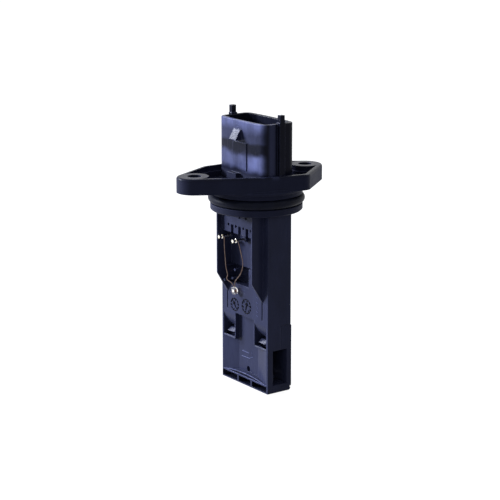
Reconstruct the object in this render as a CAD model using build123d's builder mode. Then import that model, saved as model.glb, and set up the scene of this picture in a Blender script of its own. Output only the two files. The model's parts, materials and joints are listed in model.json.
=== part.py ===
import math
import os

from build123d import *

os.makedirs("parts", exist_ok=True)

# Mass airflow sensor, plug-in type, in millimetres.
# Origin: flange underside, on the spigot axis. X: probe width. -Y: front face. +Z: towards the connector.

# Spigot and its seal, down from the flange underside
neck_h = 2.6
neck_root_r = 1.2
collar_h = 2.4
collar_chamfer = 0.4
ring_d = 35.3
ring_section = 3.25
ring_play = 0.05
ring_proud = 0.8
groove_room = 0.55

# Flange: a skewed hexagon with two screw ears and an open pocket round the connector
flange_h = 5.7
flange_shift = -2.6
ear_span = 46.4
ear_turn = 5.2
ear_r = 6.4
screw_hole_d = 5.0
boss_r = 5.2
boss_step = 0.4
flanks_right = [(11.9, -6.0), (15.1, 8.2)]
flanks_left = [(-12.2, 3.0), (-12.2, -11.4)]
flank_r = 3.9
rim_wall = 1.5
pocket_floor = 1.6
pocket_step_z = 3.7
pocket_step_w = 1.0
flange_edge_r = 0.8

# Connector shroud with its latch lug, finger panel and two guide pegs
shroud_w = 28.6
shroud_side_d = 13.2
shroud_bow = 0.8
shroud_corner_r = 3.0
shroud_wall = 1.5
shroud_top = 24.1
socket_floor = 4.0
rim_round = 0.35
peg_w = 1.9
peg_t = 1.7
peg_rise = 3.2
peg_x = 14.8
rib_w = 2.4
rib_rise = 0.5
lug_x = -1.05
lug_w = 4.1
lug_top = 21.0
lug_h = 3.7
lug_top_out = 0.5
lug_foot_out = 2.6
panel_x = 0.1
panel_w = 8.2
panel_low = 6.4
panel_high = 16.4
panel_out = 0.25
buttress_w = 5.5
buttress_x = -2.65
buttress_out = 1.9
buttress_high = 5.0

# Contact blades
contact_count = 4
contact_pitch = 4.6
contact_w = 1.5
contact_t = 0.64
contact_tip_z = 15.0
contact_tip_l = 1.2
contact_end_z = -18.2
contact_y = 0.2

# Probe blade
probe_w = 28.9
probe_t = 10.4
probe_y = -0.1
probe_low = -75.4
probe_edge_r = 0.2
seat = 0.02
bite = 0.8
overlap = 0.2

# Front: guard fins, comb plate, open recess and the deeper pocket behind the leads
fin_in = 3.6
fin_t = 1.0
fin_tip_t = 0.6
fin_out = 4.7
fin_bend_z = -33.8
fin_foot_z = -41.4
fin_groove_w = 0.6
fin_groove_depth = 0.8
fin_groove_z = -48.1
fin_groove_top = -39.9
comb_out = 2.8
comb_low = -17.6
comb_t = 1.6
comb_x = 0.8
comb_count = 4
comb_pitch = 4.6
comb_slot_w = 1.7
comb_slot_h = 3.0
comb_hole_d = 1.1
comb_hole_z = -14.9
comb_hole_depth = 3.0
comb_top_holes = [(0.7, -11.1), (4.7, -10.8)]
recess_top = -13.5
recess_depth = 1.4
pocket_top = -30.7
pocket_low = -37.5
pocket_depth = 3.8
pocket_right = 2.6

# Lower front: strip recess, two windows, shallow trough, bottom ledge and cored cells
strip_w = 11.6
strip_top = -48.95
strip_low = -59.6
window_gap = 0.4
window_side = 1.1
window_top = -50.0
window_sill = -58.5
window_lip_y = 3.3
window_lip_h = 5.4
window_lip_mid = (2.0, 4.1)
trough_floor_w = 11.8
trough_side = 0.95
trough_depth = 1.8
ledge_z = -72.2
ledge_t = 0.6
crescent_h = 0.95
crescent_side = 2.05
crescent_depth = 3.2
bow_t = 0.35
bow_out = 0.1
bleed_d = 2.1
bleed_z = -69.6
cell_ribs = (-4.3, 4.05)
cell_rib_t = 0.9
cell_wall_left = 0.4
cell_wall_right = 0.95
cell_depth = 5.0
cell_floor_t = 0.45

# Air channel and its rear cover
channel_top = -59.25
channel_low = -72.5
mouth_front = -3.1
mouth_rear = 3.3
throat_front = -2.3
throat_rear = 2.8
part_y = 0.65
seam = 0.25
cover_top = -50.1
cover_low = -73.9
cover_proud = 0.4
cover_wall = 1.4
cover_edge_r = 0.3
notch = 0.55
lip_r = 0.9
hook_w = 4.0
hook_top_w = 3.4
hook_low = -57.1
hook_high = -55.8
hook_tip_y = -4.6
hook_slope = 1.2

# Electronics chamber and its cover
chamber_side = 2.65
chamber_top = -13.0
chamber_low = -46.0
pad_floor_y = -0.14
board_floor_y = -0.9
pad_low = -23.5
cover_seat = 1.2
cover_lap = 1.5
cover_gap = 0.1
frame_t = 1.0
frame_h = 1.2

# Board, its plate and the parts on it
plate_t = 0.8
board_t = 0.8
board_room = 0.8
board_top = -24.5
board_low = -45.0
chip_size = 7.0
chip_t = 1.2
capacitor_l = 3.2
capacitor_w = 1.6
capacitor_t = 1.3
resistor_l = 2.0
resistor_w = 1.25
resistor_t = 0.6

# Sensor tongue in the air channel
tongue_y = 0.72
tongue_w = 7.8
tongue_t = 1.0
tongue_top = -41.0
tongue_low = -70.0
sensor_w = 2.6
sensor_h = 3.4
sensor_t = 0.4
sensor_z = -66.0

# Temperature bead on its two pins
pin_d = 1.0
pin_z = -19.9
pin_from_fin = 1.35
pin_right_x = -0.3
pin_tip_y = -10.5
pin_end_y = 0.3
pin_head_d = 1.25
pin_head_l = 0.7
pin_collar_d = 1.5
pin_collar_y = -8.7
pin_collar_l = 0.8
pin_boss_d = 2.2
pin_boss_h = 1.4
lead_d = 0.34
bead = (-4.4, -6.75, -39.9)
bead_d = 2.5
bead_l = 2.9
core_size = 0.9
post_d = 1.0

# Worked out from the values above
front_y = probe_y - probe_t / 2
rear_y = probe_y + probe_t / 2
collar_d = ring_d - 2 * ring_proud
groove_d = ring_d - 2 * (ring_section + ring_play)
groove_h = ring_section + groove_room
groove_top = -neck_h
groove_low = groove_top - groove_h
collar_low = groove_low - collar_h
ear_x = ear_span / 2 * math.sin(math.radians(ear_turn))
ear_y = ear_span / 2 * math.cos(math.radians(ear_turn))
comb_y = front_y - comb_out
recess_y = front_y + recess_depth
deep_y = front_y + pocket_depth
fin_x = probe_w / 2 - fin_in
fin_inner = fin_x - fin_t / 2
pin_xs = (-fin_inner + pin_from_fin, pin_right_x)
window_in = strip_w / 2 + window_gap
window_out = probe_w / 2 - window_side
trough_w = probe_w - 2 * trough_side
crescent_w = probe_w - 2 * crescent_side
cell_edges = [-probe_w / 2 + cell_wall_left, probe_w / 2 - cell_wall_right]
for rib in cell_ribs:
    cell_edges += [rib - cell_rib_t / 2, rib + cell_rib_t / 2]
cell_edges.sort()
chamber_w = probe_w - 2 * chamber_side
board_w = chamber_w - 2 * board_room
shroud_front = -(shroud_side_d / 2 + shroud_bow)
contact_xs = [contact_pitch * (i - (contact_count - 1) / 2) for i in range(contact_count)]
comb_xs = [comb_x + comb_pitch * (i - (comb_count - 1) / 2) for i in range(comb_count)]
ear_points = [(-ear_x, flange_shift - ear_y), (ear_x, flange_shift + ear_y)]
# The posts that keep the leads apart: x, z and the height of the tip
posts = [(-9.3, -31.2, -7.5), (-4.4, -32.0, -6.6), (-5.6, -35.4, -6.9), (-9.2, -36.6, -7.9)]


def belt_outline(z, circles):
    """Convex outline wrapped round circles given as (x, y, r), counter-clockwise."""
    normals = []
    for (x0, y0, r0), (x1, y1, r1) in zip(circles, circles[1:] + circles[:1]):
        run = math.hypot(x1 - x0, y1 - y0)
        normals.append(math.atan2(y1 - y0, x1 - x0) - math.acos((r0 - r1) / run))
    with BuildSketch(Plane.XY.offset(z)) as outline:
        with BuildLine():
            for i, (x, y, r) in enumerate(circles):
                start = normals[i - 1]
                end = normals[i] if normals[i] > start else normals[i] + 2 * math.pi
                at = [(x + r * math.cos(t), y + r * math.sin(t)) for t in (start, (start + end) / 2, end)]
                ThreePointArc(*at)
                x1, y1, r1 = circles[(i + 1) % len(circles)]
                Line(at[2], (x1 + r1 * math.cos(end), y1 + r1 * math.sin(end)))
        make_face()
    return outline.sketch


def flange_outline(z, inset, boss=0):
    """The flange seen from above, drawn in by inset, without the screw bosses of radius boss."""
    around = [(*ear_points[0], ear_r)] + [(x, y, flank_r) for x, y in flanks_right]
    around += [(*ear_points[1], ear_r)] + [(x, y, flank_r) for x, y in flanks_left]
    with BuildSketch(Plane.XY.offset(z)) as outline:
        add(belt_outline(0, [(x, y, r - inset) for x, y, r in around]))
        if boss:
            with Locations(*ear_points):
                Circle(boss, mode=Mode.SUBTRACT)
    return outline.sketch


def shroud_outline(z, inset):
    """Flat ends, slightly bowed front and back, rounded corners."""
    w = shroud_w / 2 - inset
    d = shroud_side_d / 2 - inset
    bow = d + shroud_bow
    with BuildSketch(Plane.XY.offset(z)) as outline:
        with BuildLine():
            Line((w, -d), (w, d))
            ThreePointArc((w, d), (0, bow), (-w, d))
            Line((-w, d), (-w, -d))
            ThreePointArc((-w, -d), (0, -bow), (w, -d))
        make_face()
        fillet(outline.vertices(), shroud_corner_r - inset)
    return outline.sketch


def side_profile(x, points):
    """Closed outline from (y, z) points, on the plane at x that looks along X."""
    with BuildSketch(Plane.YZ.offset(x)) as outline:
        with BuildLine():
            Polyline(*points, close=True)
        make_face()
    return outline.sketch


def top_profile(z, points):
    """Closed outline from (x, y) points, at height z."""
    with BuildSketch(Plane.XY.offset(z)) as outline:
        with BuildLine():
            Polyline(*points, close=True)
        make_face()
    return outline.sketch


def box_between(x0, x1, y0, y1, z0, z1, mode=Mode.ADD):
    """A block from its six face positions."""
    with Locations(((x0 + x1) / 2, (y0 + y1) / 2, (z0 + z1) / 2)):
        Box(x1 - x0, y1 - y0, z1 - z0, mode=mode)


def bar(x, z, y0, y1, d, mode=Mode.ADD):
    """A round bar along Y."""
    with Locations((x, (y0 + y1) / 2, z)):
        Cylinder(d / 2, y1 - y0, rotation=(90, 0, 0), mode=mode)


def channel_half(throat_y, mouth_y, outer_y):
    """Plan of one half of the air channel: narrow in the middle, wide at both mouths."""
    half = probe_w / 2
    with BuildSketch(Plane.XY.offset(channel_low)) as outline:
        with BuildLine():
            Spline((-half, mouth_y), (0, throat_y), (half, mouth_y), tangents=((1, 0), (1, 0)))
            Polyline((half, mouth_y), (half + 1, mouth_y), (half + 1, outer_y),
                     (-half - 1, outer_y), (-half - 1, mouth_y), (-half, mouth_y))
        make_face()
    return outline.sketch


def rounded_bar(x0, x1, y, z0, z1, r):
    """Upright rounded rectangle on the plane at y that looks along Y."""
    plane = Plane(origin=((x0 + x1) / 2, y, (z0 + z1) / 2), x_dir=(1, 0, 0), z_dir=(0, -1, 0))
    with BuildSketch(plane) as outline:
        RectangleRounded(x1 - x0, z1 - z0, r)
    return outline.sketch


def bow_outline(grow):
    """The crescent on the trough floor, its arc raised by grow; looks along -Y."""
    plane = Plane(origin=(0, front_y + trough_depth, ledge_z), x_dir=(1, 0, 0), z_dir=(0, -1, 0))
    with BuildSketch(plane) as outline:
        with BuildLine():
            ThreePointArc((-crescent_w / 2 - grow, 0), (0, crescent_h + grow), (crescent_w / 2 + grow, 0))
            Line((crescent_w / 2 + grow, 0), (-crescent_w / 2 - grow, 0))
        make_face()
    return outline.sketch


with BuildPart() as shroud:
    extrude(shroud_outline(0, 0), amount=shroud_top)
    extrude(shroud_outline(socket_floor, shroud_wall), amount=shroud_top, mode=Mode.SUBTRACT)
    fillet(shroud.faces().filter_by(Plane.XY).sort_by(Axis.Z)[-1].edges(), rim_round)

with BuildPart() as blade:
    with BuildSketch(Plane.YZ.offset(-probe_w / 2)):
        with BuildLine():
            Polyline((rear_y, probe_low + lip_r), (rear_y, collar_low + overlap), (front_y, collar_low + overlap),
                     (front_y, probe_low), (rear_y - lip_r, probe_low))
            RadiusArc((rear_y - lip_r, probe_low), (rear_y, probe_low + lip_r), -lip_r)
        make_face()
    extrude(amount=probe_w)
    fillet(blade.edges().filter_by(Axis.Z), probe_edge_r)
    box_between(-probe_w, probe_w, part_y, probe_t, cover_low, cover_top, Mode.SUBTRACT)
    extrude(side_profile(-probe_w, [
        (rear_y - notch, cover_low + notch), (rear_y - notch, cover_low), (rear_y + notch, cover_low - 2 * notch),
        (rear_y + notch, cover_low + notch)]), amount=2 * probe_w, mode=Mode.SUBTRACT)

with BuildPart() as housing:
    # Flange plate with its stepped pocket and screw holes
    extrude(flange_outline(0, 0), amount=flange_h)
    fillet(housing.faces().sort_by(Axis.Z)[-1].outer_wire().edges(), flange_edge_r)
    extrude(flange_outline(pocket_step_z, rim_wall, boss_r), amount=flange_h, mode=Mode.SUBTRACT)
    extrude(flange_outline(pocket_floor, rim_wall + pocket_step_w, boss_r + boss_step), amount=flange_h,
            mode=Mode.SUBTRACT)
    with Locations(*[(x, y, flange_h / 2) for x, y in ear_points]):
        Cylinder(screw_hole_d / 2, flange_h + 1, mode=Mode.SUBTRACT)

    # Connector shroud and what stands on it
    add(shroud.part)
    for side in (-1, 1):
        outer = side * (peg_x + peg_t / 2)
        rib_x = sorted((side * (shroud_w / 2 - shroud_wall / 2), outer))
        peg_xs = sorted((side * (peg_x - peg_t / 2), outer))
        box_between(*rib_x, -rib_w / 2, rib_w / 2, pocket_floor, shroud_top + rib_rise)
        box_between(*peg_xs, -peg_w / 2, peg_w / 2, shroud_top, shroud_top + peg_rise)
    extrude(side_profile(lug_x - lug_w / 2, [
        (shroud_front + bite, lug_top), (shroud_front - lug_top_out, lug_top),
        (shroud_front - lug_foot_out, lug_top - lug_h), (shroud_front + bite, lug_top - lug_h)]), amount=lug_w)
    box_between(panel_x - panel_w / 2, panel_x + panel_w / 2, shroud_front - panel_out,
                shroud_front + bite, panel_low, panel_high)
    box_between(buttress_x - buttress_w / 2, buttress_x + buttress_w / 2, shroud_front - buttress_out,
                shroud_front + bite, pocket_floor - overlap, buttress_high)

    # Spigot: neck, seal groove and collar, turned about the spigot axis
    with BuildSketch(Plane.XZ):
        with BuildLine():
            RadiusArc((collar_d / 2 + neck_root_r, 0), (collar_d / 2, -neck_root_r), neck_root_r)
            Polyline((collar_d / 2, -neck_root_r), (collar_d / 2, groove_top), (groove_d / 2, groove_top),
                     (groove_d / 2, groove_low), (collar_d / 2, groove_low),
                     (collar_d / 2, collar_low + collar_chamfer), (collar_d / 2 - collar_chamfer, collar_low),
                     (0, collar_low), (0, bite), (collar_d / 2, bite), (collar_d / 2 + neck_root_r, 0))
        make_face()
    revolve(axis=Axis.Z)

    # Probe blade, with the rear half of its lower end left to the channel cover
    add(blade.part)

    # Guard fins, thinner in front and cut back at a slant, and the comb plate between them
    for side in (-1, 1):
        fin = top_profile(fin_foot_z, [
            (side * fin_x - fin_t / 2, front_y + bite), (side * fin_x - fin_t / 2, front_y),
            (side * fin_x - fin_tip_t / 2, front_y - fin_out), (side * fin_x + fin_tip_t / 2, front_y - fin_out),
            (side * fin_x + fin_t / 2, front_y), (side * fin_x + fin_t / 2, front_y + bite)])
        extrude(fin, amount=collar_low + overlap - fin_foot_z)
    extrude(side_profile(-probe_w / 2, [
        (front_y, fin_foot_z), (front_y - fin_out, fin_bend_z), (front_y - fin_out - 1, fin_bend_z),
        (front_y - fin_out - 1, fin_foot_z - 1), (front_y, fin_foot_z - 1)]), amount=probe_w, mode=Mode.SUBTRACT)
    box_between(-fin_x, fin_x, comb_y, front_y + bite, comb_low, collar_low + overlap)
    box_between(-fin_inner, fin_inner, comb_y + comb_t, recess_y, pocket_top, recess_top, Mode.SUBTRACT)
    box_between(-fin_inner, pocket_right, front_y - 1, deep_y, pocket_low, pocket_top, Mode.SUBTRACT)
    for x, z in [(x, comb_hole_z) for x in comb_xs] + comb_top_holes:
        bar(x, z, comb_y - 1, comb_y + comb_hole_depth, comb_hole_d, Mode.SUBTRACT)
    for x in comb_xs[:-1]:
        slot_x = x + comb_pitch / 2
        box_between(slot_x - comb_slot_w / 2, slot_x + comb_slot_w / 2, comb_y - 1, comb_y + comb_t + overlap,
                    comb_low - 1, comb_low + comb_slot_h, Mode.SUBTRACT)
    for side in (-1, 1):
        groove = rounded_bar(side * fin_x - fin_groove_w / 2, side * fin_x + fin_groove_w / 2, front_y,
                             fin_groove_z, fin_groove_top, fin_groove_w * 0.45)
        extrude(groove, amount=-fin_groove_depth, mode=Mode.SUBTRACT)

    # Pin bosses and the posts that keep the leads apart
    for x in pin_xs:
        bar(x, pin_z, recess_y - pin_boss_h, recess_y + overlap, pin_boss_d)
    for x, z, tip_y in posts:
        bar(x, z, tip_y, deep_y + overlap, post_d)

    # Strip recess, windows with their bowed upper lips, and the trough below them
    box_between(-strip_w / 2, strip_w / 2, front_y - 1, front_y + trough_depth, strip_low, strip_top,
                Mode.SUBTRACT)
    lip_mid = (front_y + window_lip_mid[0], window_top - window_lip_mid[1])
    lip_end = (front_y + window_lip_y, window_top - window_lip_h)
    for x0 in (-window_out, window_in):
        with BuildSketch(Plane.YZ.offset(x0)) as window:
            with BuildLine():
                ThreePointArc((front_y, window_top), lip_mid, lip_end)
                Polyline(lip_end, (part_y + 1, lip_end[1]), (part_y + 1, window_sill),
                         (front_y - 1, window_sill), (front_y - 1, window_top), (front_y, window_top))
            make_face()
        extrude(window.sketch, amount=window_out - window_in, mode=Mode.SUBTRACT)
    trough = top_profile(ledge_z, [
        (-trough_w / 2, front_y), (-trough_floor_w / 2, front_y + trough_depth),
        (trough_floor_w / 2, front_y + trough_depth), (trough_w / 2, front_y),
        (trough_w / 2, front_y - 1), (-trough_w / 2, front_y - 1)])
    extrude(trough, amount=window_sill - ledge_z, mode=Mode.SUBTRACT)

    # Crescent under the trough with the bowed lip above it, bleed hole, and the open cells of the bottom edge
    extrude(bow_outline(bow_t), amount=trough_depth + bow_out)
    extrude(bow_outline(0), amount=trough_depth + 1, mode=Mode.SUBTRACT)
    extrude(bow_outline(0), amount=-crescent_depth, mode=Mode.SUBTRACT)
    bar(0, bleed_z, front_y, 0, bleed_d, Mode.SUBTRACT)
    for x0, x1 in zip(cell_edges[::2], cell_edges[1::2]):
        box_between(x0, x1, front_y - 1, front_y + cell_depth, probe_low + cell_floor_t, ledge_z - ledge_t,
                    Mode.SUBTRACT)

    # Front half of the air channel
    extrude(channel_half(throat_front, mouth_front, probe_t), amount=channel_top - channel_low,
            mode=Mode.SUBTRACT)

    # Electronics chamber in two depths, the seat of its cover, and the passage of the sensor tongue
    box_between(-chamber_w / 2, chamber_w / 2, pad_floor_y, probe_t, pad_low, chamber_top, Mode.SUBTRACT)
    box_between(-chamber_w / 2, chamber_w / 2, board_floor_y, probe_t, chamber_low, pad_low, Mode.SUBTRACT)
    box_between(-chamber_w / 2 - cover_lap, chamber_w / 2 + cover_lap, rear_y - cover_seat, probe_t,
                chamber_low - cover_lap, chamber_top + cover_lap, Mode.SUBTRACT)
    box_between(-tongue_w / 2 - cover_gap, tongue_w / 2 + cover_gap, tongue_y - cover_gap,
                tongue_y + tongue_t + cover_gap, cover_top - 1, chamber_low + 1, Mode.SUBTRACT)

    # Slots of the contact blades and bores of the temperature pins
    for x in contact_xs:
        box_between(x - contact_w / 2 - seat, x + contact_w / 2 + seat, contact_y - contact_t / 2 - seat,
                    contact_y + contact_t / 2 + seat, chamber_top - 0.5, socket_floor + 0.5, Mode.SUBTRACT)
    for x in pin_xs:
        bar(x, pin_z, front_y - 5, 1, pin_d + 2 * seat, Mode.SUBTRACT)

housing.part.label = "housing"
export_step(housing.part, "parts/housing.step")

with BuildPart() as o_ring:
    with BuildSketch(Plane.XZ):
        with Locations(((ring_d - ring_section) / 2, (groove_top + groove_low) / 2)):
            Circle(ring_section / 2)
    revolve(axis=Axis.Z)
o_ring.part.label = "o_ring"
export_step(o_ring.part, "parts/o_ring.step")

# Contact blades: flat, with a pointed tip in the socket
for number, x in enumerate(contact_xs, 1):
    plane = Plane(origin=(x, contact_y, 0), x_dir=(1, 0, 0), z_dir=(0, -1, 0))
    with BuildPart() as terminal:
        with BuildSketch(plane):
            with BuildLine():
                Polyline((-contact_w / 2, contact_end_z), (contact_w / 2, contact_end_z),
                         (contact_w / 2, contact_tip_z - contact_tip_l), (contact_w / 5, contact_tip_z),
                         (-contact_w / 5, contact_tip_z), (-contact_w / 2, contact_tip_z - contact_tip_l),
                         close=True)
            make_face()
        extrude(amount=contact_t / 2, both=True)
    terminal.part.label = f"terminal_{number}"
    export_step(terminal.part, f"parts/terminal_{number}.step")

# Rear cover of the electronics chamber: a plate with a locating frame on its inner side
with BuildPart() as electronics_cover:
    plate_x = chamber_w / 2 + cover_lap - cover_gap
    plate_z0 = chamber_low - cover_lap + cover_gap
    plate_z1 = chamber_top + cover_lap - cover_gap
    frame_x = chamber_w / 2 - cover_gap
    frame_z0 = chamber_low + cover_gap
    frame_z1 = chamber_top - cover_gap
    extrude(rounded_bar(-plate_x, plate_x, rear_y - cover_seat, plate_z0, plate_z1, 0.4), amount=-cover_seat)
    chamfer(electronics_cover.faces().sort_by(Axis.Y)[-1].edges(), 0.3)
    box_between(-frame_x, frame_x, rear_y - cover_seat - frame_h, rear_y - cover_seat + 0.1,
                frame_z0, frame_z1)
    box_between(-frame_x + frame_t, frame_x - frame_t, 0, rear_y - cover_seat,
                frame_z0 + frame_t, frame_z1 - frame_t, Mode.SUBTRACT)
electronics_cover.part.label = "electronics_cover"
export_step(electronics_cover.part, "parts/electronics_cover.step")

# Rear half of the air channel, with the wall over the channel, the cavity above it and two snap hooks
with BuildPart() as channel_cover:
    cover_y = rear_y + cover_proud
    extrude(side_profile(-probe_w / 2, [
        (part_y + seat, cover_top - cover_gap), (part_y + seat, cover_low + seat),
        (cover_y - notch, cover_low + seat), (cover_y, cover_low + seat + notch),
        (cover_y, cover_top - cover_gap - notch), (cover_y - notch, cover_top - cover_gap)]), amount=probe_w)
    upright = channel_cover.edges().filter_by(Axis.Z).group_by(Axis.Y)
    fillet(upright[-1], cover_edge_r)
    chamfer(upright[0], seam)
    extrude(channel_half(throat_rear, mouth_rear, -probe_t), amount=channel_top - channel_low,
            mode=Mode.SUBTRACT)
    box_between(-probe_w / 2 + cover_wall, probe_w / 2 - cover_wall, 0, cover_y - cover_wall,
                window_sill, cover_top - cover_wall, Mode.SUBTRACT)
    box_between(-tongue_w / 2 - cover_gap, tongue_w / 2 + cover_gap, 0, tongue_y + tongue_t + cover_gap,
                channel_low, cover_top, Mode.SUBTRACT)
    hook_root_y = cover_y - cover_wall + overlap
    for side in (-1, 1):
        hook_x = side * (window_in + window_out) / 2
        loft([
            top_profile(z, [(hook_x - w / 2, tip_y), (hook_x + w / 2, tip_y),
                            (hook_x + w / 2, hook_root_y), (hook_x - w / 2, hook_root_y)])
            for z, w, tip_y in ((hook_low, hook_w, hook_tip_y), (hook_high, hook_top_w, hook_tip_y + hook_slope))])
channel_cover.part.label = "channel_cover"
export_step(channel_cover.part, "parts/channel_cover.step")

# Metal plate, board and the parts on it
plate_y = board_floor_y
board_y = plate_y + plate_t
with BuildPart() as base_plate:
    box_between(-board_w / 2, board_w / 2, plate_y + seat, plate_y + plate_t, board_low, board_top)
base_plate.part.label = "base_plate"
export_step(base_plate.part, "parts/base_plate.step")

with BuildPart() as circuit_board:
    box_between(-board_w / 2, board_w / 2, board_y + seat, board_y + board_t, board_low, board_top)
circuit_board.part.label = "circuit_board"
export_step(circuit_board.part, "parts/circuit_board.step")

board_face = board_y + board_t
# Name, place from the board's left or right edge and from its top, size along x and z, height
small_parts = [
    ("signal_chip", 7.5, 7.0, chip_size, chip_size, chip_t),
    ("capacitor_1", -5.5, 4.0, capacitor_l, capacitor_w, capacitor_t),
    ("capacitor_2", -5.5, 8.0, capacitor_l, capacitor_w, capacitor_t),
    ("capacitor_3", 2.5, 13.5, capacitor_w, capacitor_l, capacitor_t),
    ("resistor_1", -5.5, 11.5, resistor_l, resistor_w, resistor_t),
    ("resistor_2", -3.0, 14.5, resistor_w, resistor_l, resistor_t),
]
for name, from_edge, from_top, w, h, t in small_parts:
    x = from_edge - math.copysign(board_w / 2, from_edge)
    z = board_top - from_top
    with BuildPart() as small:
        box_between(x - w / 2, x + w / 2, board_face + seat, board_face + t, z - h / 2, z + h / 2)
    small.part.label = name
    export_step(small.part, f"parts/{name}.step")

# Sensor tongue with a rounded end, and the sensing chip let into its rear face
with BuildPart() as sensor_carrier:
    extrude(rounded_bar(-tongue_w / 2, tongue_w / 2, tongue_y + seat, tongue_low, tongue_top, 1.2),
            amount=-tongue_t + seat)
    box_between(-sensor_w / 2 - seat, sensor_w / 2 + seat, tongue_y + tongue_t - sensor_t, probe_t,
                sensor_z - sensor_h / 2 - seat, sensor_z + sensor_h / 2 + seat, Mode.SUBTRACT)
sensor_carrier.part.label = "sensor_carrier"
export_step(sensor_carrier.part, "parts/sensor_carrier.step")

with BuildPart() as sensor_chip:
    box_between(-sensor_w / 2, sensor_w / 2, tongue_y + tongue_t - sensor_t + seat, tongue_y + tongue_t,
                sensor_z - sensor_h / 2, sensor_z + sensor_h / 2)
sensor_chip.part.label = "sensor_chip"
export_step(sensor_chip.part, "parts/sensor_chip.step")

# Pins that carry the temperature bead: shank, welding collar and flat head
for name, x in zip(("weld_pin_left", "weld_pin_right"), pin_xs):
    with BuildPart() as weld_pin:
        bar(x, pin_z, pin_tip_y, pin_end_y, pin_d)
        bar(x, pin_z, pin_tip_y, pin_tip_y + pin_head_l, pin_head_d)
        bar(x, pin_z, pin_collar_y - pin_collar_l / 2, pin_collar_y + pin_collar_l / 2, pin_collar_d)
    weld_pin.part.label = name
    export_step(weld_pin.part, f"parts/{name}.step")

# Bent leads from the collars to the bead, straight runs joined by arcs
beside_collar = (pin_collar_d + lead_d) / 2 + seat
bead_top = bead[2] + bead_l / 2
lead_routes = {
    "lead_left": [
        (pin_xs[0] + beside_collar, pin_collar_y, pin_z), (-8.35, -8.4, -24.5), (-8.1, -7.9, -32.0),
        (-6.8, -7.9, -34.3), (-8.1, -7.9, -36.0), (-5.2, -7.3, -37.1), (bead[0] - 0.3, bead[1], bead_top + 0.05)],
    "lead_right": [
        (pin_xs[1] + beside_collar, pin_collar_y, pin_z), (1.5, -8.4, -22.4), (3.1, -8.0, -28.2),
        (1.3, -7.9, -32.2), (-3.2, -7.4, -36.0), (bead[0] + 0.3, bead[1], bead_top + 0.05)],
}
for name, route in lead_routes.items():
    radii = []
    for p, q, r in zip(route, route[1:], route[2:]):
        before = Vector(q) - Vector(p)
        after = Vector(r) - Vector(q)
        turn = math.radians(before.get_angle(after))
        radii.append(0.45 * min(before.length, after.length) / math.tan(turn / 2))
    with BuildPart() as lead:
        with BuildLine() as path:
            FilletPolyline(*route, radius=radii)
        with BuildSketch(Plane(origin=path.line @ 0, z_dir=path.line % 0)):
            Circle(lead_d / 2)
        sweep(path=path.line)
    lead.part.label = name
    export_step(lead.part, f"parts/{name}.step")

# Glass drop with its core
with BuildPart() as bead_glass:
    with BuildSketch(Plane.XZ):
        with BuildLine():
            EllipticalCenterArc((0, 0), bead_d / 2, bead_l / 2, start_angle=-90, arc_size=180)
            Line((0, bead_l / 2), (0, -bead_l / 2))
        make_face()
    revolve(axis=Axis.Z)
    Box(core_size, core_size, core_size, mode=Mode.SUBTRACT)
bead_glass.part.position = bead
bead_glass.part.label = "bead_glass"
export_step(bead_glass.part, "parts/bead_glass.step")

core_side = core_size - 2 * seat
with BuildPart() as bead_core:
    with Locations(bead):
        Box(core_side, core_side, core_side)
bead_core.part.label = "bead_core"
export_step(bead_core.part, "parts/bead_core.step")
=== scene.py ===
import json
from math import cos, radians, sin

import bmesh
import bpy
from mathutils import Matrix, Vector


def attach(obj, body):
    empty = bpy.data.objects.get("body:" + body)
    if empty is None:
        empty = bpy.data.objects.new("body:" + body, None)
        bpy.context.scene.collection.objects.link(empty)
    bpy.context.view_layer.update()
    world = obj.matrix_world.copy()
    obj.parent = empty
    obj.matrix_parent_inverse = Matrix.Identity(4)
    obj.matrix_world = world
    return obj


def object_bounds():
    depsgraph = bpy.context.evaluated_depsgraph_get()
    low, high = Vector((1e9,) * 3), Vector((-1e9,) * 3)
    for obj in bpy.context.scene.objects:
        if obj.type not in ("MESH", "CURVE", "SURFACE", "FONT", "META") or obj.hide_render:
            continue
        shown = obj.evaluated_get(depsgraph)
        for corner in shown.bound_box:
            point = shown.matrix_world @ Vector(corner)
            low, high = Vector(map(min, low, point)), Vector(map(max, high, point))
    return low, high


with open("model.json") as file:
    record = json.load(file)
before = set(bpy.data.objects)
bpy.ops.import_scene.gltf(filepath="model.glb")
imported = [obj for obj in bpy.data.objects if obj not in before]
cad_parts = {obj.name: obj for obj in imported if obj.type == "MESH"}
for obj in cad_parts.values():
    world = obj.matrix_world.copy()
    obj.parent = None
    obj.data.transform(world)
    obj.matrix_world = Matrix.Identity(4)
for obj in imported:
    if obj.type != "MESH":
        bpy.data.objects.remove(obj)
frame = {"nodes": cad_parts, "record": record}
nodes = frame["nodes"]
cad_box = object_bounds()

MM = 0.001

# Places on the part, in millimetres
COLLAR_LOW = -9.6
FLANGE_TOP = 5.6
FRONT_Y = -5.3
TROUGH_Y = -3.5
SHROUD_Y = -7.38
WINDOW_IN = 6.2
WINDOW_OUT = 13.35
SILL_Z = -58.5
LEDGE_Z = -72.2
BOW_HALF = 12.7
BOW_RISE = 1.25
FINE_EDGE = 0.08

# The plastic's own colour, how much darker the polished half is, and how much lighter the specks and
# edges are: dust and wear, with a painted highlight along the edges
BODY = (0.035, 0.039, 0.080)
DEEP_TONE = 0.58
EDGE_AND_SPECK_LIGHTENING = 2.0

# Surroundings: the floor's own tone and the glow that lifts it to white, and the light from all round
FLOOR_TONE = 0.13
FLOOR_LIFT = 0.95
FLOOR_HALF = 4.0
AMBIENT = (0.84, 0.91, 1.0, 1)
AMBIENT_STRENGTH = 0.29
WHITE = (1, 1, 1, 1)
MIDDLE = Vector((0, 0, -0.02))


# Materials: every finish is built from nodes, at the size its real grain has


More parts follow.
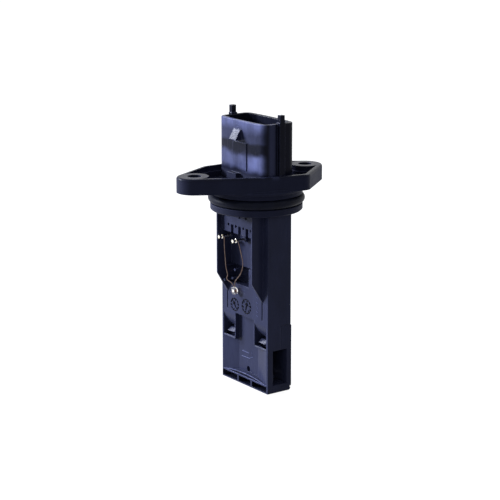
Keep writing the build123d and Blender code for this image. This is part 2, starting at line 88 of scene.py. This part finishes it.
class Surface:
    """A node material built step by step round one Principled shader."""

    def __init__(self, name, roughness=0.5, metallic=0.0, specular=0.5):
        self.mat = bpy.data.materials.new(name)
        self.mat.use_nodes = True
        self.tree = self.mat.node_tree
        self.bsdf = self.tree.nodes["Principled BSDF"]
        self.bsdf.inputs["Roughness"].default_value = roughness
        self.bsdf.inputs["Metallic"].default_value = metallic
        self.bsdf.inputs["Specular IOR Level"].default_value = specular
        self.coords = self.tree.nodes.new("ShaderNodeTexCoord")

    def put(self, socket, value):
        if isinstance(value, bpy.types.NodeSocket):
            self.tree.links.new(value, socket)
        else:
            socket.default_value = value

    def noise(self, size_mm, detail=3, rough=0.55, stretch=(1, 1, 1)):
        """Noise with features of about size_mm, drawn out along an axis by stretch."""
        mapping = self.tree.nodes.new("ShaderNodeMapping")
        self.tree.links.new(self.coords.outputs["Object"], mapping.inputs["Vector"])
        scale = 1 / (size_mm * MM)
        mapping.inputs["Scale"].default_value = [scale / s for s in stretch]
        made = self.tree.nodes.new("ShaderNodeTexNoise")
        made.inputs["Scale"].default_value = 1.0
        made.inputs["Detail"].default_value = detail
        made.inputs["Roughness"].default_value = rough
        self.tree.links.new(mapping.outputs["Vector"], made.inputs["Vector"])
        return made.outputs["Fac"]

    def place(self):
        """The point's own X, Y and Z on the part, in metres."""
        split = self.tree.nodes.new("ShaderNodeSeparateXYZ")
        self.tree.links.new(self.coords.outputs["Object"], split.inputs[0])
        return split.outputs[0], split.outputs[1], split.outputs[2]

    def ramp(self, value, low, high, out_low=0.0, out_high=1.0, smooth=False):
        made = self.tree.nodes.new("ShaderNodeMapRange")
        made.interpolation_type = "SMOOTHSTEP" if smooth else "LINEAR"
        made.inputs["From Min"].default_value = low
        made.inputs["From Max"].default_value = high
        made.inputs["To Min"].default_value = out_low
        made.inputs["To Max"].default_value = out_high
        self.put(made.inputs["Value"], value)
        return made.outputs["Result"]

    def step(self, value, low_mm, high_mm, out_low=0.0, out_high=1.0):
        """Straight ramp between two places on the part."""
        return self.ramp(value, low_mm * MM, high_mm * MM, out_low, out_high)

    def fade(self, value, low_mm, high_mm, out_low=0.0, out_high=1.0):
        """Soft ramp between two places on the part."""
        return self.ramp(value, low_mm * MM, high_mm * MM, out_low, out_high, smooth=True)

    def math(self, operation, *values):
        """The values joined from the first to the last by one operation."""
        result = values[0]
        for value in values[1:]:
            made = self.tree.nodes.new("ShaderNodeMath")
            made.operation = operation
            self.put(made.inputs[0], result)
            self.put(made.inputs[1], value)
            result = made.outputs[0]
        return result

    def times(self, *values):
        return self.math("MULTIPLY", *values)

    def plus(self, *values):
        return self.math("ADD", *values)

    def mix(self, factor, a, b):
        made = self.tree.nodes.new("ShaderNodeMix")
        made.data_type = "RGBA"
        self.put(made.inputs[0], factor)
        self.put(made.inputs[6], a)
        self.put(made.inputs[7], b)
        return made.outputs[2]

    def scale(self, colour, factor):
        made = self.tree.nodes.new("ShaderNodeVectorMath")
        made.operation = "SCALE"
        self.put(made.inputs[0], colour)
        self.put(made.inputs["Scale"], factor)
        return made.outputs[0]

    def rounded(self, radius_mm, fine_below=None):
        """Normal of an edge rounded to radius_mm, or to the fine edge where z is under fine_below."""
        bevel = self.tree.nodes.new("ShaderNodeBevel")
        bevel.samples = 12
        bevel.inputs["Radius"].default_value = radius_mm * MM
        if fine_below is not None:
            z = self.place()[2]
            fine = self.step(z, fine_below - 0.2, fine_below, FINE_EDGE * MM, radius_mm * MM)
            self.put(bevel.inputs["Radius"], fine)
        return bevel.outputs["Normal"]

    def edge_mask(self, rounded_normal):
        """1 along sharp edges, 0 on the faces between them."""
        geometry = self.tree.nodes.new("ShaderNodeNewGeometry")
        dot = self.tree.nodes.new("ShaderNodeVectorMath")
        dot.operation = "DOT_PRODUCT"
        self.tree.links.new(rounded_normal, dot.inputs[0])
        self.tree.links.new(geometry.outputs["Normal"], dot.inputs[1])
        return self.ramp(dot.outputs["Value"], 0.995, 0.85)

    def bump(self, height, depth_mm, normal=None):
        made = self.tree.nodes.new("ShaderNodeBump")
        made.inputs["Distance"].default_value = depth_mm * MM
        made.inputs["Strength"].default_value = 1.0
        self.put(made.inputs["Height"], height)
        if normal is not None:
            self.put(made.inputs["Normal"], normal)
        return made.outputs["Normal"]

    def finish(self, colour, roughness, normal):
        self.put(self.bsdf.inputs["Base Color"], colour)
        self.put(self.bsdf.inputs["Roughness"], roughness)
        self.put(self.bsdf.inputs["Normal"], normal)
        return self.mat


def scaled(colour, factor, lift=0.0):
    return [c * factor + lift for c in colour] + [1]


def polish_tone_and_painted_light(s):
    """Tone of the mould's polish, with painted light: 1 on the matt probe, deep on the smooth upper
    half, with a painted sheen on the connector's front near its rim and towards its foot, a painted
    highlight streak beside its corner and painted shade inside the cells under the ledge."""
    x, y, z = s.place()
    connector = s.fade(z, 4.0, 6.5)
    front = s.fade(y, -5.0, -6.7)
    # Painted sheen: lighter bands at mid height, near the rim and towards the foot of the connector's
    # front stand in for reflected light.
    wander = s.ramp(s.noise(6.0, stretch=(1.5, 1, 1)), 0.3, 0.7, -0.8 * MM, 0.8 * MM)
    level = s.plus(z, wander)
    middle = s.fade(level, 15.8, 17.0, 0.0, 0.85)
    rim = s.fade(level, 19.5, 23.8, 0.0, 2.4)
    foot = s.times(s.fade(level, 13.8, 11.0), s.fade(level, 5.5, 8.2, 0.0, 2.7),
                   s.fade(x, 2.0, 7.5, 0.68, 1.25))
    patchy = s.ramp(s.noise(5.0, stretch=(1, 1, 1.6)), 0.35, 0.62, 0.62, 1.08)
    painted_sheen = s.times(s.plus(middle, rim, foot), patchy, front, connector)
    # Painted highlight: a lighter streak beside the connector's corner.
    painted_corner_highlight = s.times(s.fade(y, -5.4, -4.0, 0.0, 1.2), s.fade(y, -1.4, -2.8), connector,
                     s.step(x, 12.0, 13.2))
    upper = s.step(z, COLLAR_LOW, COLLAR_LOW + 0.7, 1.0, DEEP_TONE)
    # Painted shade: darker inside the cells under the ledge of the foot.
    painted_shade_in_cells = s.times(s.step(y, -5.28, -5.1), s.step(z, LEDGE_Z - 0.4, LEDGE_Z - 0.6, 0.0, 0.75),
                           s.ramp(s.times(x, x), (13.8 * MM) ** 2, (13.6 * MM) ** 2))
    polish_tone_and_painted_shade = s.math("SUBTRACT", upper, s.times(connector, 0.33), painted_shade_in_cells)
    return s.plus(polish_tone_and_painted_shade, painted_sheen, painted_corner_highlight)


def moulded(name, colour, gloss, edge_mm=0.3, polished=False):
    """Glass-filled moulded plastic: fine spark grain, cloudy gloss, lighter specks of dust, edges
    lighter from wear and from a painted highlight.
    """
    s = Surface(name, specular=0.045)
    round_normal = s.rounded(edge_mm, LEDGE_Z + 1.8 if polished else None)
    cloud = s.noise(7.0, detail=4, stretch=(1, 1, 2.2))
    flow = s.noise(1.1, detail=5, rough=0.62, stretch=(1, 1, 5))
    grain = s.noise(0.2, detail=2)
    dust_wear_and_highlight = scaled(colour, EDGE_AND_SPECK_LIGHTENING, 0.006)
    body = s.mix(s.ramp(cloud, 0.3, 0.7), scaled(colour, 0.86), scaled(colour, 1.16))
    speck = s.ramp(s.noise(0.35, detail=2), 0.68, 0.75, 0.0, 0.3)
    body = s.mix(speck, body, dust_wear_and_highlight)
    # On the housing: polish tone, painted sheen, painted highlight and painted shade scale the colour.
    if polished:
        body = s.scale(body, polish_tone_and_painted_light(s))
    # Edges: lighter colour along every edge, partly wear and partly a painted highlight.
    edge = s.times(s.edge_mask(round_normal), s.ramp(flow, 0.3, 0.65, 0.2, 0.8))
    body = s.mix(edge, body, dust_wear_and_highlight)
    rough = s.plus(s.ramp(cloud, 0.3, 0.7, gloss - 0.03, gloss + 0.05),
                   s.ramp(flow, 0.3, 0.7, -0.03, 0.03))
    if polished:
        z = s.place()[2]
        satin = s.times(s.step(z, COLLAR_LOW, COLLAR_LOW + 0.6),
                        s.step(z, FLANGE_TOP, FLANGE_TOP - 1.0), 0.24)
        rough = s.plus(rough, satin)
    return s.finish(body, rough, s.bump(grain, 0.003, s.bump(flow, 0.006, round_normal)))


def rubber(name, colour):
    s = Surface(name, specular=0.06)
    cloud = s.noise(3.0, detail=4)
    grain = s.noise(0.12, detail=2)
    body = s.mix(s.ramp(cloud, 0.3, 0.7), scaled(colour, 0.75), scaled(colour, 1.35))
    return s.finish(body, s.ramp(cloud, 0.3, 0.7, 0.4, 0.52), s.bump(grain, 0.006))


def metal(name, colour, roughness, tint, brush=(1, 1, 1)):
    """Plain metal with drawn or rolled marks along the stretched axis and a faint tarnish."""
    s = Surface(name, metallic=1.0)
    marks = s.noise(0.1, detail=4, stretch=brush)
    cloud = s.noise(1.2, detail=4)
    body = s.mix(s.ramp(cloud, 0.38, 0.72), scaled(colour, 1), scaled(tint, 1))
    drawn = s.ramp(marks, 0.3, 0.7, roughness - 0.06, roughness + 0.08)
    rough = s.plus(drawn, s.ramp(cloud, 0.4, 0.7, 0, 0.08))
    return s.finish(body, rough, s.bump(marks, 0.004, s.rounded(0.05)))


def ceramic(name, colour, roughness, spot=0.12):
    s = Surface(name, specular=0.4)
    cloud = s.noise(2.0, detail=4)
    grain = s.noise(0.1, detail=2)
    body = s.mix(s.ramp(cloud, 0.3, 0.7), scaled(colour, 1 - spot), scaled(colour, 1 + spot))
    rough = s.ramp(cloud, 0.3, 0.7, roughness - 0.06, roughness + 0.06)
    return s.finish(body, rough, s.bump(grain, 0.006, s.rounded(0.08)))


def clear_glass(name):
    s = Surface(name, roughness=0.03)
    s.bsdf.inputs["Transmission Weight"].default_value = 1.0
    s.bsdf.inputs["IOR"].default_value = 1.5
    wave = s.noise(0.9, detail=2)
    body = s.mix(s.ramp(wave, 0.4, 0.7), (0.97, 0.96, 0.94, 1), (0.9, 0.84, 0.78, 1))
    return s.finish(body, s.ramp(wave, 0.3, 0.7, 0.02, 0.07), s.bump(wave, 0.03))


def shade_of_body(factor):
    return [c * factor for c in BODY]


looks = {
    "housing_plastic": moulded("housing_plastic", BODY, 0.25, polished=True),
    "cover_plastic": moulded("cover_plastic", shade_of_body(0.92), 0.28, edge_mm=0.1),
    "seal_rubber": rubber("seal_rubber", (0.009, 0.0105, 0.021)),
    "contact_metal": metal("contact_metal", (0.80, 0.72, 0.52), 0.26, (0.62, 0.50, 0.32), (1, 1, 8)),
    "plate_metal": metal("plate_metal", (0.72, 0.73, 0.74), 0.36, (0.60, 0.61, 0.62), (10, 1, 1)),
    "board": ceramic("board", (0.72, 0.71, 0.64), 0.55, 0.05),
    "chip": ceramic("chip", (0.045, 0.045, 0.048), 0.5),
    "capacitor": ceramic("capacitor", (0.50, 0.37, 0.22), 0.4),
    "resistor": ceramic("resistor", (0.05, 0.05, 0.055), 0.35),
    "carrier_plastic": ceramic("carrier_plastic", (0.09, 0.09, 0.10), 0.5),
    "sensor_silicon": ceramic("sensor_silicon", (0.22, 0.25, 0.30), 0.15),
    "pin_metal": metal("pin_metal", (0.86, 0.84, 0.79), 0.2, (0.70, 0.62, 0.45), (1, 6, 1)),
    "lead_metal": metal("lead_metal", (0.18, 0.135, 0.12), 0.4, (0.12, 0.075, 0.06), (1, 1, 6)),
    "bead_glass": clear_glass("bead_glass"),
    "bead_core": metal("bead_core", (0.66, 0.25, 0.12), 0.3, (0.46, 0.15, 0.08)),
}
for part in frame["record"]["subparts"]:
    mesh = nodes[part["node"]].data
    mesh.materials.clear()
    mesh.materials.append(looks[part["material_slot"]])

# Painted shade: the dial marks are coloured far darker than the body to stand in for shade in engraved
# lines.
painted_shade_mark = moulded("painted_shade_mark", shade_of_body(0.14), 0.5, edge_mm=0.04)
sill_plastic = moulded("sill_plastic", BODY, 0.25, edge_mm=0.04)
# Painted highlight: the ridges are coloured three times lighter than the body to stand in for the
# light their raised edges catch.
painted_highlight_ridge = moulded("painted_highlight_ridge", shade_of_body(3.0), 0.28, edge_mm=0.04)


# Moulded marks that stand a tenth of a millimetre or so out of the surface


def add_piece(name, mesh):
    piece = bpy.data.objects.new(name, mesh)
    bpy.context.scene.collection.objects.link(piece)
    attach(piece, "root")


def ridges(name, lines, width, y, material):
    """Half-round ridges along lines of (x, z) points in millimetres, on a face at y."""
    curve = bpy.data.curves.new(name, "CURVE")
    curve.dimensions = "3D"
    curve.bevel_depth = width / 2 * MM
    curve.bevel_resolution = 2
    curve.use_fill_caps = True
    for line in lines:
        spline = curve.splines.new("POLY")
        spline.points.add(len(line) - 1)
        for point, (x, z) in zip(spline.points, line):
            point.co = (x * MM, y * MM, z * MM, 1)
    drawn = bpy.data.objects.new(name + "_line", curve)
    mesh = bpy.data.meshes.new_from_object(drawn)
    bpy.data.objects.remove(drawn)
    mesh.name = name
    mesh.shade_smooth()
    mesh.materials.clear()
    mesh.materials.append(material)
    add_piece(name, mesh)


def on_circle(centre, radius, degrees):
    """Point at a radius from centre, its angle taken from +X towards +Z."""
    angle = radians(degrees)
    return centre[0] + radius * cos(angle), centre[1] + radius * sin(angle)


def dial_lines(centre, radius, pointing):
    """A mould's plain setting dial: a broken ring, and an arrow without numbers."""
    ring = [[on_circle(centre, radius, start + 19 * i / 3) for i in range(4)]
            for start in range(0, 360, 30)]
    ticks = [[on_circle(centre, radius * share, degrees) for share in (0.72, 0.86)]
             for degrees in range(15, 360, 60)]
    tip = on_circle(centre, radius * 0.55, pointing)
    tail = on_circle(centre, radius * 0.55, pointing + 180)
    barbs = [on_circle(centre, radius * 0.32, pointing + side) for side in (52, -52)]
    return ring + ticks + [[tail, tip], [barbs[0], tip], [barbs[1], tip]]


def bow_line(points):
    """The bow over the front of the foot, from one side to the other."""
    xs = [BOW_HALF * i / points for i in range(-points, points + 1)]
    return [(x, LEDGE_Z + BOW_RISE * (1 - (x / BOW_HALF) ** 2)) for x in xs]


def sill(name, x_low, x_high):
    """Thin sill under a window, its front edge broken at the slope of a moulded chamfer."""
    inner_y, outer_y = -3.3, -5.34
    profile = [(inner_y, SILL_Z), (outer_y + 0.22, SILL_Z), (outer_y, SILL_Z - 0.38),
               (outer_y, SILL_Z - 0.55), (inner_y, SILL_Z - 0.8)]
    bm = bmesh.new()
    ends = [[bm.verts.new((x * MM, y * MM, z * MM)) for y, z in profile] for x in (x_low, x_high)]
    bm.faces.new(ends[0])
    bm.faces.new(ends[1][::-1])
    for i in range(len(profile)):
        j = (i + 1) % len(profile)
        bm.faces.new((ends[0][i], ends[1][i], ends[1][j], ends[0][j]))
    bmesh.ops.recalc_face_normals(bm, faces=bm.faces)
    mesh = bpy.data.meshes.new(name)
    bm.to_mesh(mesh)
    bm.free()
    mesh.materials.append(sill_plastic)
    add_piece(name, mesh)


ridges("dial_left", dial_lines((-6.3, -45.8), 2.3, 125), 0.5, FRONT_Y, painted_shade_mark)
ridges("dial_right", dial_lines((1.05, -44.95), 2.6, 75), 0.5, FRONT_Y, painted_shade_mark)
arrow = [[(-4.0, -63.4), (0.5, -63.4)],
         [(-4.3, -65.5), (0.5, -65.4)],
         [(1.7, -62.6), (3.2, -64.2), (0.5, -65.4)]]
ridges("flow_arrow", arrow, 0.24, TROUGH_Y, painted_highlight_ridge)
ridges("bow_lip", [bow_line(14)], 0.26, -5.36, painted_highlight_ridge)
ridges("ledge_lip", [[(-13.4, LEDGE_Z - 0.1), (13.6, LEDGE_Z - 0.1)]], 0.24, -5.24, painted_highlight_ridge)
sill("sill_left", -WINDOW_OUT, -WINDOW_IN)
sill("sill_right", WINDOW_IN, WINDOW_OUT)
ticks = [[(7.55, z), (8.15, z - 0.55)] for z in (-40.0, -41.8, -43.5, -45.2, -46.8)]
ridges("row_of_ticks", ticks, 0.22, FRONT_Y, painted_highlight_ridge)
lug_frame = [(-2.3, 22.55), (-0.4, 22.55), (-0.4, 21.75), (-2.3, 21.75), (-2.3, 22.55)]
ridges("frame_above_lug", [lug_frame], 0.16, SHROUD_Y, painted_highlight_ridge)


# Floor, light and camera


def seen_directly(tree):
    """1 for rays that show the background itself: camera, mirror and glass rays."""
    path = tree.nodes.new("ShaderNodeLightPath")
    total = path.outputs["Is Camera Ray"]
    for name in ("Is Glossy Ray", "Is Transmission Ray"):
        most = tree.nodes.new("ShaderNodeMath")
        most.operation = "MAXIMUM"
        tree.links.new(total, most.inputs[0])
        tree.links.new(path.outputs[name], most.inputs[1])
        total = most.outputs[0]
    return total


floor_mesh = bpy.data.meshes.new("floor")
bm = bmesh.new()
bmesh.ops.create_grid(bm, x_segments=1, y_segments=1, size=FLOOR_HALF)
bm.to_mesh(floor_mesh)
bm.free()
floor = bpy.data.objects.new("floor", floor_mesh)
floor.location = (0, 0, cad_box[0][2])
bpy.context.scene.collection.objects.link(floor)
floor_mat = bpy.data.materials.new("floor")
floor_mat.use_nodes = True
tree = floor_mat.node_tree
shade = tree.nodes["Principled BSDF"]
shade.inputs["Base Color"].default_value = (FLOOR_TONE, FLOOR_TONE, FLOOR_TONE, 1)
shade.inputs["Roughness"].default_value = 0.9
glow = tree.nodes.new("ShaderNodeEmission")
glow.inputs["Color"].default_value = WHITE
lift = tree.nodes.new("ShaderNodeMath")
lift.operation = "MULTIPLY"
lift.inputs[1].default_value = FLOOR_LIFT
tree.links.new(seen_directly(tree), lift.inputs[0])
tree.links.new(lift.outputs[0], glow.inputs["Strength"])
both = tree.nodes.new("ShaderNodeAddShader")
tree.links.new(shade.outputs[0], both.inputs[0])
tree.links.new(glow.outputs[0], both.inputs[1])
tree.links.new(both.outputs[0], tree.nodes["Material Output"].inputs["Surface"])
floor_mesh.materials.append(floor_mat)

world = bpy.data.worlds.new("studio")
bpy.context.scene.world = world
world.use_nodes = True
tree = world.node_tree
ambient = tree.nodes["Background"]
ambient.inputs["Color"].default_value = AMBIENT
ambient.inputs["Strength"].default_value = AMBIENT_STRENGTH
white = tree.nodes.new("ShaderNodeBackground")
white.inputs["Color"].default_value = WHITE
white.inputs["Strength"].default_value = 1.0
choose = tree.nodes.new("ShaderNodeMixShader")
tree.links.new(seen_directly(tree), choose.inputs[0])
tree.links.new(ambient.outputs[0], choose.inputs[1])
tree.links.new(white.outputs[0], choose.inputs[2])
tree.links.new(choose.outputs[0], tree.nodes["World Output"].inputs["Surface"])


def softbox(name, towards, distance, size, watts, colour):
    """Square lamp in a direction seen from the middle of the part, facing it."""
    data = bpy.data.lights.new(name, "AREA")
    data.shape = "RECTANGLE"
    data.size = size
    data.size_y = size
    data.energy = watts
    data.color = colour
    lamp = bpy.data.objects.new(name, data)
    direction = Vector(towards).normalized()
    lamp.location = MIDDLE + direction * distance
    lamp.rotation_euler = direction.to_track_quat("Z", "Y").to_euler()
    bpy.context.scene.collection.objects.link(lamp)


softbox("key", (-1, -1, 0.4), 0.9, 0.11, 10.2, (0.84, 0.9, 1.0))
softbox("side", (-0.79, -0.39, 0.47), 0.9, 0.2, 7.8, (0.84, 0.88, 1.0))
softbox("back", (-0.5, 1, 0.9), 1.1, 0.5, 3.5, (0.9, 0.94, 1.0))
softbox("fill", (0.5, -1, 0.5), 1.2, 0.7, 0.6, (0.88, 0.93, 1.0))

# The camera stands where the photograph's perspective puts it
CAMERA_AT = (0.474388, -0.345460, 0.121481)
CAMERA_TARGET = (-0.0013613, -0.0018872, -0.02457)
camera_data = bpy.data.cameras.new("camera")
camera_data.sensor_width = 36
camera_data.lens = 118.8
camera_data.clip_start = 0.01
camera = bpy.data.objects.new("camera", camera_data)
camera.location = CAMERA_AT
camera.rotation_euler = (Vector(CAMERA_TARGET) - Vector(CAMERA_AT)).to_track_quat("-Z", "Y").to_euler()
bpy.context.scene.collection.objects.link(camera)
bpy.context.scene.camera = camera

bpy.context.scene.view_settings.view_transform = "Standard"
